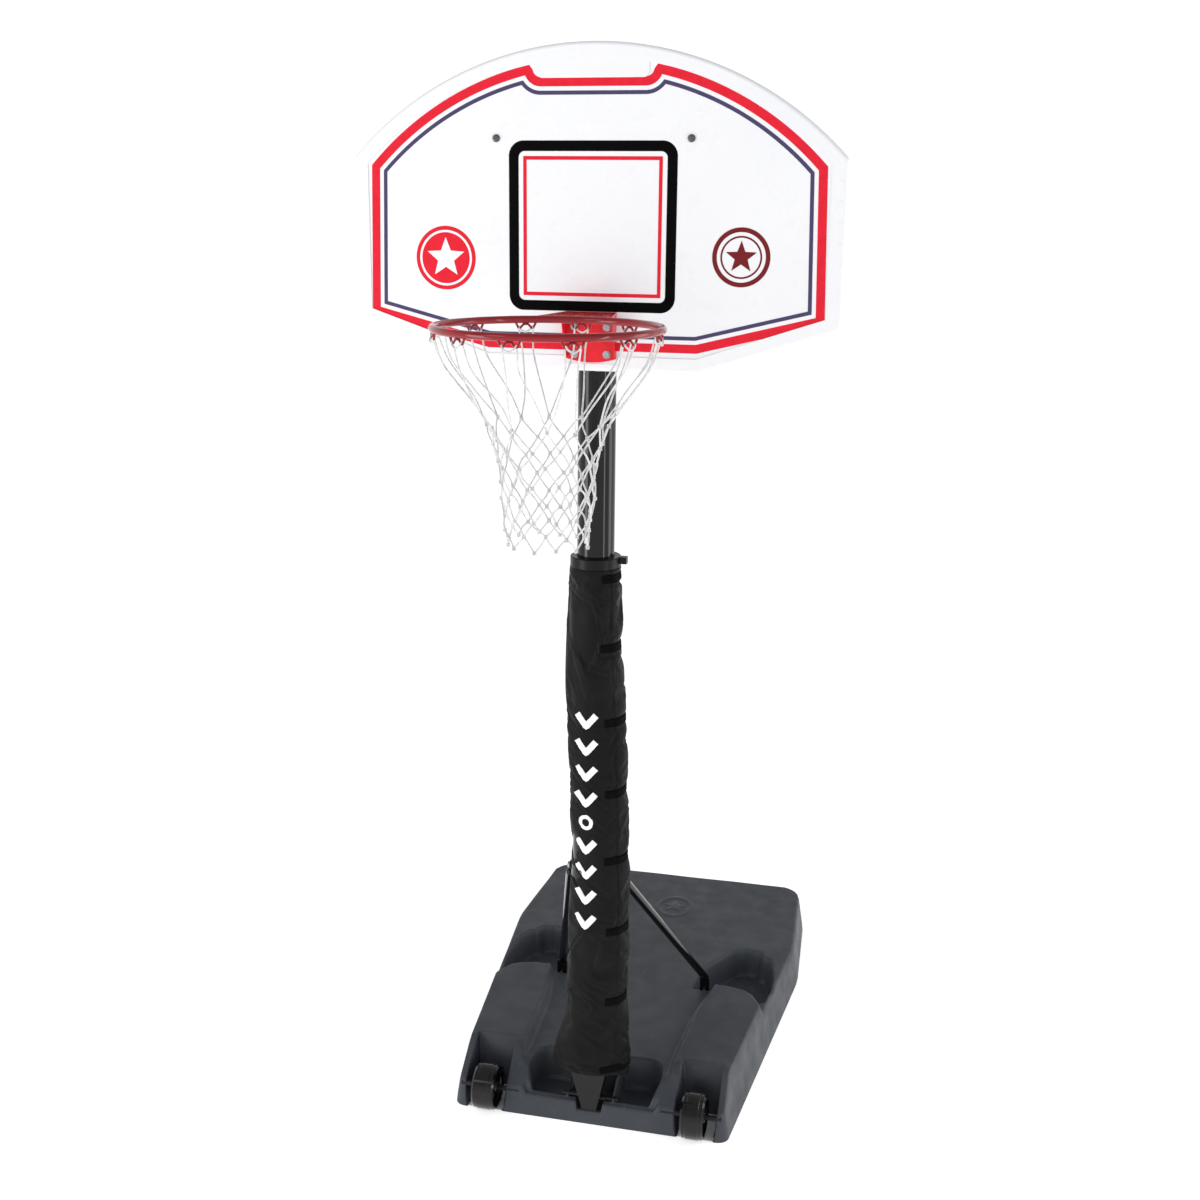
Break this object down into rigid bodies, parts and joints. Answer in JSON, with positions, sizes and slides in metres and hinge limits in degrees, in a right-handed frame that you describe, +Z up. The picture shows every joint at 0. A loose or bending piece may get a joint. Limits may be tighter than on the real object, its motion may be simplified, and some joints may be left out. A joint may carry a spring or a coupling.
{
  "type": "portable basketball hoop",
  "caption": "Free-standing basketball hoop with fan-shaped board, netted rim, padded telescopic pole, struts and a wheeled ballast tank.",
  "frame": {"origin": "on the floor plane under the pole's axis, on the underside of the base tank", "axes": "+Z up along the pole, -Y towards the player in front of the board, +X to the right seen from the front"},
  "size_m": [1.118, 1.961, 2.6855],
  "materials": {
    "tank_plastic": "satin moulded polyethylene, slate grey",
    "black_plastic": "satin black plastic",
    "wheel_plastic": "glossy black plastic",
    "seal_rubber": "matt black rubber",
    "zinc_steel": "bright zinc plate",
    "dark_steel": "dull zinc plate",
    "pole_paint": "gloss black powder coat",
    "pad_vinyl": "matt black vinyl-coated fabric over foam",
    "strap_webbing": "black hook-and-loop webbing",
    "board_white": "glossy white moulded plastic",
    "rim_red": "gloss deep red powder coat",
    "bracket_red": "gloss bright red powder coat",
    "net_cord": "white braided nylon cord"
  },
  "bodies": {
    "base": {"base_tank": "tank_plastic", "axle_pins": "zinc_steel", "foot_pin": "zinc_steel", "pole_foot": "pole_paint", "lower_pole": "pole_paint", "pole_collar": "black_plastic", "collar_bush": "black_plastic", "stop_bolt": "zinc_steel", "stop_bolt_nut": "zinc_steel", "strut_right": "pole_paint", "strut_left": "pole_paint", "strut_band": "pole_paint", "strut_top_bolts": "zinc_steel", "strut_foot_bolts": "zinc_steel", "pole_pad": "pad_vinyl", "pad_straps": "strap_webbing"},
    "mast": {"upper_pole": "pole_paint", "guide_bush": "black_plastic", "travel_stop_ring": "black_plastic", "pole_cap": "black_plastic", "saddle_bracket": "pole_paint", "saddle_bolts": "zinc_steel", "saddle_nuts": "zinc_steel", "backboard": "board_white", "board_arm_right": "pole_paint", "board_arm_left": "pole_paint", "arm_bolts": "dark_steel", "arm_nuts": "zinc_steel", "rim_hoop": "rim_red", "rim_bracket": "bracket_red", "rim_washers": "zinc_steel", "rim_bolts": "zinc_steel", "rim_nuts": "zinc_steel", "net_hooks": "rim_red", "net": "net_cord"},
    "wheel_left_body": {"wheel_left": "wheel_plastic"},
    "wheel_right_body": {"wheel_right": "wheel_plastic"},
    "clamp_shoe_body": {"clamp_shoe": "black_plastic"},
    "clamp_knob_body": {"clamp_screw": "zinc_steel", "clamp_knob": "black_plastic"},
    "cap_seal_body": {"tank_cap_seal": "seal_rubber"},
    "cap_body": {"tank_cap": "black_plastic"}
  },
  "joints": [
    {"name": "height_slide", "type": "slide", "parent": "base", "child": "mast", "axis": [0, 0, 1], "range_m": [0, 0.948]},
    {"name": "wheel_left_spin", "type": "hinge", "parent": "base", "child": "wheel_left_body", "pos_m": [-0.28, -0.018, 0.0605], "axis": [1, 0, 0], "continuous": true},
    {"name": "wheel_right_spin", "type": "hinge", "parent": "base", "child": "wheel_right_body", "pos_m": [0.28, -0.018, 0.0605], "axis": [1, 0, 0], "continuous": true},
    {"name": "clamp_shoe_slide", "type": "slide", "parent": "base", "child": "clamp_shoe_body", "axis": [0, 1, 0], "range_m": [0, 0.0045]},
    {"name": "clamp_knob_turn", "type": "hinge", "parent": "clamp_shoe_body", "child": "clamp_knob_body", "pos_m": [0, 0.06, 1.518], "axis": [0, 1, 0], "range_deg": [0, 1080.5]},
    {"name": "cap_lift", "type": "slide", "parent": "base", "child": "cap_seal_body", "axis": [0, 0, 1], "range_m": [0, 0.012]},
    {"name": "cap_turn", "type": "hinge", "parent": "cap_seal_body", "child": "cap_body", "pos_m": [-0.185, 0.906, 0.12], "axis": [0, 0, 1], "range_deg": [0, 1080.5]}
  ],
  "couplings": [
    {"joint": "clamp_knob_turn", "follows": "clamp_shoe_slide", "rad_per_m": 4188.8},
    {"joint": "cap_turn", "follows": "cap_lift", "rad_per_m": 1570.8}
  ]
}
